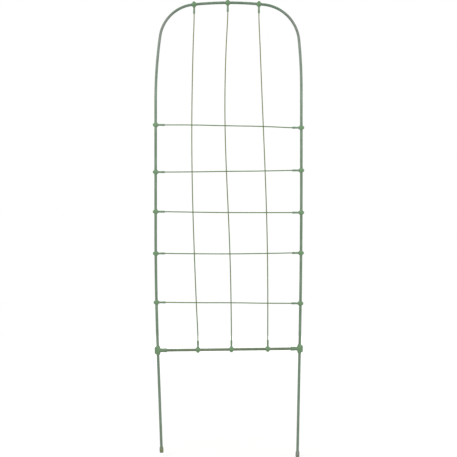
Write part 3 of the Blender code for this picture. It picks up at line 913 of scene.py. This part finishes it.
def rowLine(row, crossings, firstSide):
    # level at its ends, and in front of or behind each column wire in turn
    leftHeight, rightHeight, sag = row
    left, right = legAt("left", leftHeight)[0], legAt("right", rightHeight)[0]
    start, end = left.x + clip["reach"], right.x - clip["reach"]
    depth = 2 * wireRadius + wire["gap"]
    stops = [(start, start, 0.0)]
    for number, crossing in enumerate(crossings):
        side = firstSide * (-1) ** number
        stops.append((crossing - wire["level"], crossing + wire["level"], depth * side))
    stops.append((end, end, 0.0))
    woven = [(start, 0.0)]
    for (_, leave, fromDepth), (arrive, onwards, toDepth) in zip(stops, stops[1:]):
        for k in range(1, wire["rowSteps"] + 1):
            t = k / wire["rowSteps"]
            woven.append((lerp(leave, arrive, t), lerp(fromDepth, toDepth, t * t * (3 - 2 * t))))
        if onwards > arrive:
            woven.append((lerp(arrive, onwards, 0.5), toDepth))
            woven.append((onwards, toDepth))
    line = []
    for x, y in woven:
        s = eased((x - start) / (end - start))
        line.append(Vector((x, y, lerp(leftHeight, rightHeight, s) - sag * math.sin(math.pi * s))))
    floor = clip["reach"] - clip["depth"]
    line.insert(0, Vector((left.x + floor + wire["endGap"], 0, leftHeight)))
    line.append(Vector((right.x - floor - wire["rowSlip"], 0, rightHeight)))
    return line


def makeWire(name, node, line, turn, coat):
    # a disc at the wire's end, pulled from point to point
    piece = startCircle(name, wireRadius, wire["sides"], place=line[0], turn=turn)
    for before, after in zip(line, line[1:]):
        pullBy(*(after - before))
    closeUp(piece)
    paintUnbent(piece, line)
    finishPiece(piece, node, coat)


columnLines = []
for number, column in enumerate(columns, start=1):
    line = columnLine(column)
    columnLines.append(line)
    makeWire(f"columnWire{number}", f"column_wire_{number}", line, 0.0, columnCoat)
    top, along = crownAt(column[0])
    bottom = barAt(column[1])
    placeFitting(clipModel, f"column_clip_{number}_top", top, along, Vector((0, 0, -1)))
    placeFitting(clipModel, f"column_clip_{number}_bottom", bottom, acrossBar, Vector((0, 0, 1)))
print("columns hung")

for number, row in enumerate(rows, start=1):
    leftHeight, rightHeight, sag = row
    middleHeight = (leftHeight + rightHeight) / 2 - sag
    crossings = [columnX(line, middleHeight) for line in columnLines]
    line = rowLine(row, crossings, -1 if number % 2 else 1)
    makeWire(f"rowWire{number}", f"row_wire_{number}", line, math.pi / 2, rowCoat)
    for side, height, inwards in (("left", leftHeight, 1), ("right", rightHeight, -1)):
        seat, up = legAt(side, height)
        placeFitting(clipModel, f"row_clip_{number}_{side}", seat, up, Vector((inwards, 0, 0)))
print("rows woven")

bpy.data.objects.remove(clipModel)
bpy.data.objects.remove(teeModel)


# foot caps

def makeFootCap(name, material):
    # a cup with a rounded sole, widest a little above its middle
    bore = tubing["radius"] + fit
    wall, rim = bore + footCap["wall"], bore + footCap["rimWall"]
    sole, length = footCap["sole"], footCap["length"]
    low, widest = footCap["lowShare"], footCap["widestShare"]
    lowRadius = lerp(rim, wall, footCap["lowSwell"])
    rings = []
    for k in range(footCap["soleRings"]):
        turn = math.radians(90 * k / footCap["soleRings"])
        rings.append((lerp(sole, lowRadius, math.sin(turn)), low * length * (1 - math.cos(turn))))
    for k in range(footCap["bellyRings"]):
        share = k / footCap["bellyRings"]
        rings.append((lerp(wall, lowRadius, (1 - share) ** 2), length * lerp(low, widest, share)))
    for k in range(footCap["upperRings"] + 1):
        share = k / footCap["upperRings"]
        rings.append((lerp(wall, rim, share ** swellPower), length * lerp(widest, 1, share)))
    rings += [(bore, length), (bore, footCap["floor"])]
    piece = turnedSolid(f"footCap{name.title()}", rings, footCap["sides"])
    applied(
        piece, "BEVEL", width=footCap["rimRound"] * mm, segments=footCap["rimSegments"],
        limit_method="ANGLE", angle_limit=math.radians(footCap["roundAbove"]),
    )
    foot, up = legAt(name, archTube[name]["footHeight"])
    # the sole leans with the leg, so its middle stands a little above its lowest edge
    foot = foot + Vector((0, 0, sole * abs(up.x)))
    standAt(piece, foot, up, Vector((0, 1, 0)))
    finishPiece(piece, f"foot_cap_{name}", material)


makeFootCap("left", leftCapVinyl)
makeFootCap("right", rightCapVinyl)
print("foot caps dipped")


# floor, light and camera

studio = {
    "floorSize": 8.0, "floorGlow": 0.58, "glowRise": 0.03, "floorColour": "#c4c4c2", "ambient": 0.42,
    "softboxes": [  # name, place in metres, watts, metres across
        ("keySoftbox", (-2.2, -3.2, 2.8), 62, 2.4),
        ("fillSoftbox", (2.6, -2.8, 1.6), 37, 3.0),
        ("backSoftbox", (0.0, 4.8, 3.6), 95, 3.0),
    ],
    "lens": 85, "sensor": 36,
    "seenHeight": 1.5,  # metres of the object's plane that fill the picture
}


def directRay(tree):
    # 1 for what is seen straight, mirrored or through something, so that all of it sees the white backdrop
    path = addNode(tree, "ShaderNodeLightPath")
    seen = addNode(
        tree, "ShaderNodeMath", {"operation": "MAXIMUM"},
        {0: path.outputs["Is Camera Ray"], 1: path.outputs["Is Glossy Ray"]},
    )
    return addNode(
        tree, "ShaderNodeMath", {"operation": "MAXIMUM"},
        {0: seen.outputs["Value"], 1: path.outputs["Is Transmission Ray"]},
    ).outputs["Value"]


def makeFloor():
    bpy.ops.object.select_all(action="DESELECT")
    bpy.ops.mesh.primitive_plane_add(size=studio["floorSize"])
    floor = bpy.context.object
    floor.name = "studioFloor"
    material = bpy.data.materials.new("paperFloor")
    material.use_nodes = True
    tree = material.node_tree
    tree.nodes.clear()
    paper = addNode(
        tree, "ShaderNodeBsdfDiffuse", {"Color": hexColour(studio["floorColour"])}
    ).outputs["BSDF"]
    # the lamps reach the floor's corners less, so its own glow rises outwards
    place = addNode(tree, "ShaderNodeTexCoord").outputs["Object"]
    distance = addNode(tree, "ShaderNodeVectorMath", {"operation": "LENGTH"}, {0: place}).outputs["Value"]
    level = addNode(
        tree, "ShaderNodeMath",
        {"operation": "MULTIPLY_ADD", 1: studio["glowRise"], 2: studio["floorGlow"]}, {0: distance},
    ).outputs["Value"]
    strength = addNode(
        tree, "ShaderNodeMath", {"operation": "MULTIPLY"}, {0: level, 1: directRay(tree)}
    ).outputs["Value"]
    glow = addNode(tree, "ShaderNodeEmission", links={"Strength": strength}).outputs["Emission"]
    both = addNode(tree, "ShaderNodeAddShader", links={0: paper, 1: glow}).outputs["Shader"]
    addNode(tree, "ShaderNodeOutputMaterial", links={"Surface": both})
    floor.data.materials.append(material)


def makeWorld():
    world = bpy.data.worlds.new("whiteStudio")
    bpy.context.scene.world = world
    world.use_nodes = True
    tree = world.node_tree
    tree.nodes.clear()
    dim = addNode(tree, "ShaderNodeBackground", {"Color": (1, 1, 1, 1), "Strength": studio["ambient"]})
    white = addNode(tree, "ShaderNodeBackground", {"Color": (1, 1, 1, 1), "Strength": 1.0})
    chosen = addNode(
        tree, "ShaderNodeMixShader",
        links={0: directRay(tree), 1: dim.outputs["Background"], 2: white.outputs["Background"]},
    )
    addNode(tree, "ShaderNodeOutputWorld", links={"Surface": chosen.outputs["Shader"]})


def addSoftbox(name, place, power, size, aim):
    bpy.ops.object.light_add(type="AREA", location=place)
    lamp = bpy.context.object
    lamp.name = name
    lamp.data.energy = power
    lamp.data.size = size
    lamp.rotation_euler = (aim - Vector(place)).to_track_quat("-Z", "Y").to_euler()


def addCamera(middle):
    distance = studio["seenHeight"] * studio["lens"] / studio["sensor"]
    bpy.ops.object.camera_add(location=(0, -distance, middle), rotation=(math.pi / 2, 0, 0))
    camera = bpy.context.object
    camera.name = "frontCamera"
    camera.data.lens = studio["lens"]
    camera.data.sensor_width = studio["sensor"]
    bpy.context.scene.camera = camera


makeFloor()
makeWorld()
middle = studio["seenHeight"] / 2
for name, place, power, size in studio["softboxes"]:
    addSoftbox(name, place, power, size, Vector((0, 0, middle)))
addCamera(middle)
bpy.context.scene.view_settings.view_transform = "Standard"
print("studio lit")
